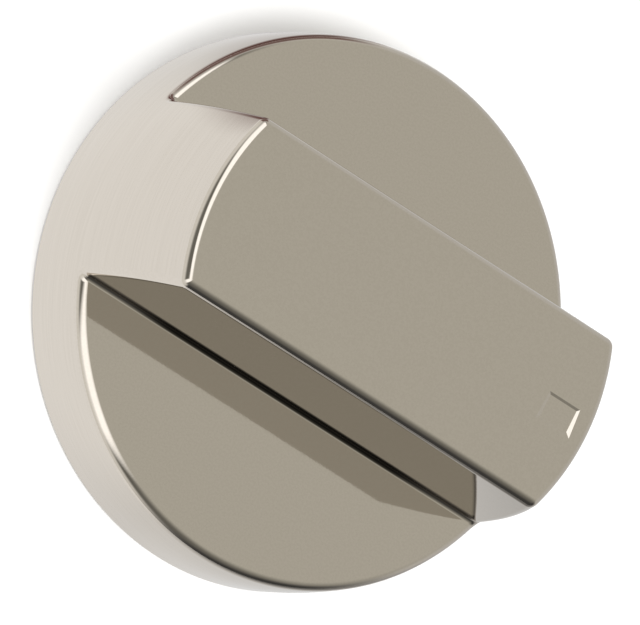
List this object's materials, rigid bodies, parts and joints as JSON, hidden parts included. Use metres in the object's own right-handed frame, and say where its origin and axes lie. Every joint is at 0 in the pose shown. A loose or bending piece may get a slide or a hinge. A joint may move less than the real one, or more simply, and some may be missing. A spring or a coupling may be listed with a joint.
{
  "type": "oven control knob",
  "caption": "Round satin nickel control knob with a grip bar across its whole diameter and a flat shoulder on either side; pushes onto a flatted oven spindle.",
  "frame": {"origin": "centre of the back rim, in the plane that faces the oven's panel", "axes": "+Z along the spindle axis, away from the panel; +X along the grip bar to its pointer; +Y across the bar"},
  "size_m": [0.045, 0.045, 0.0203],
  "materials": {
    "satin_nickel": "satin nickel plate, finely brushed round the wall",
    "hub_plastic": "as moulded",
    "spring_steel": "bright rolled strip"
  },
  "bodies": {
    "root": {"knob_body": "satin_nickel", "hub_insert": "hub_plastic", "spring_clip": "spring_steel"}
  },
  "joints": []
}
